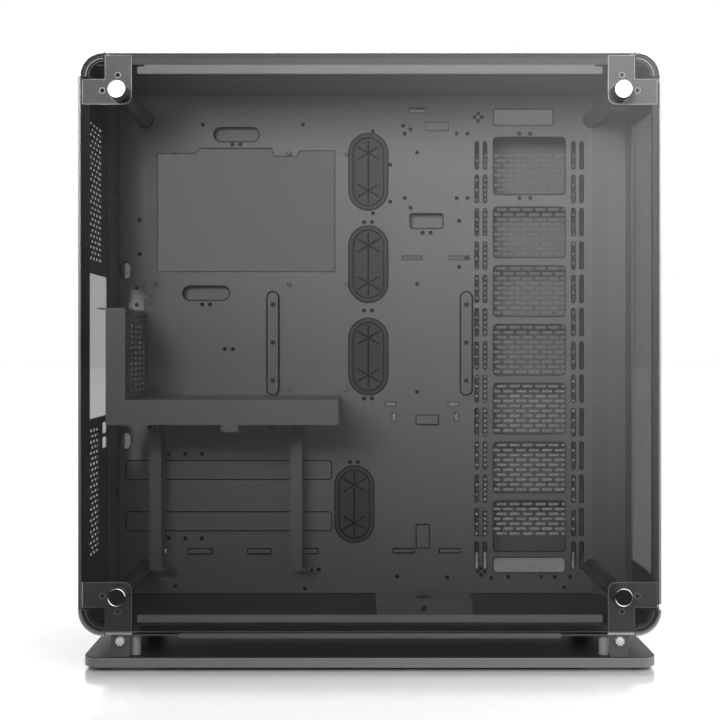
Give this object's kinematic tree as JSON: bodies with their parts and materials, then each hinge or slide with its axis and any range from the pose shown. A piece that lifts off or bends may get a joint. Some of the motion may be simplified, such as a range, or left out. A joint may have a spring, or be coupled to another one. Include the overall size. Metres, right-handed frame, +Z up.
{
  "type": "open-frame computer chassis",
  "caption": "Square open-frame computer chassis with tinted glass panes, a slotted motherboard tray, knob-held side panes and a low base plate.",
  "frame": {"origin": "on the floor, under the middle of the chassis", "axes": "+X towards the front of the computer, +Y from the near side to the far side, +Z up"},
  "size_m": [0.6212, 0.26, 0.6603],
  "materials": {
    "steel": "fine-textured black powder coat",
    "tray_steel": "fine-textured black powder coat",
    "gusset_steel": "satin black powder coat",
    "post_steel": "satin black paint",
    "cover_plastic": "moulded black plastic",
    "rail_steel": "satin black powder coat",
    "tinted_glass": "grey tinted tempered glass",
    "knob_metal": "black anodised",
    "mirror_cap": "polished",
    "screw_steel": "black zinc",
    "grommet_rubber": "soft black rubber",
    "foot_rubber": "dense grey rubber",
    "base_gloss": "high-gloss black",
    "filter_plastic": "black plastic frame with fine mesh"
  },
  "bodies": {
    "root": {"clamp_near_rear": "steel", "clamp_far_rear": "steel", "clamp_near_front": "steel", "clamp_far_front": "steel", "base_posts": "steel", "top_panel": "steel", "bottom_panel": "steel", "rear_panel": "steel", "front_frame": "steel", "skirt_plate": "steel", "motherboard_tray": "tray_steel", "fan_grille": "tray_steel", "card_bracket": "tray_steel", "supply_post_rear": "tray_steel", "supply_post_front": "tray_steel", "pump_bracket": "tray_steel", "drive_plate_upper": "tray_steel", "drive_plate_middle": "tray_steel", "drive_plate_lower": "tray_steel", "gusset_near_bottom_rear": "gusset_steel", "gusset_near_bottom_front": "gusset_steel", "gusset_near_top_rear": "gusset_steel", "gusset_near_top_front": "gusset_steel", "gusset_far_bottom_rear": "gusset_steel", "gusset_far_bottom_front": "gusset_steel", "gusset_far_top_rear": "gusset_steel", "gusset_far_top_front": "gusset_steel", "corner_post_bottom_rear": "post_steel", "corner_post_bottom_front": "post_steel", "corner_post_top_rear": "post_steel", "corner_post_top_front": "post_steel", "corner_cover_bottom_rear": "cover_plastic", "corner_cover_bottom_front": "cover_plastic", "corner_cover_top_rear": "cover_plastic", "corner_cover_top_front": "cover_plastic", "top_rail_near": "rail_steel", "top_rail_far": "rail_steel", "bottom_rail_near": "rail_steel", "bottom_rail_far": "rail_steel", "glass_near": "tinted_glass", "glass_far": "tinted_glass", "glass_top": "tinted_glass", "glass_front": "tinted_glass", "knobs_near": "knob_metal", "knobs_far": "knob_metal", "knob_caps_near": "mirror_cap", "knob_caps_far": "mirror_cap", "gusset_screws": "screw_steel", "panel_screws": "screw_steel", "thumb_screws": "screw_steel", "standoffs": "screw_steel", "grommet_1": "grommet_rubber", "grommet_2": "grommet_rubber", "grommet_3": "grommet_rubber", "grommet_4": "grommet_rubber", "cable_strip_rear": "grommet_rubber", "cable_strip_front": "grommet_rubber", "base_feet": "foot_rubber", "base_plate": "base_gloss", "dust_filter": "filter_plastic"}
  },
  "joints": []
}
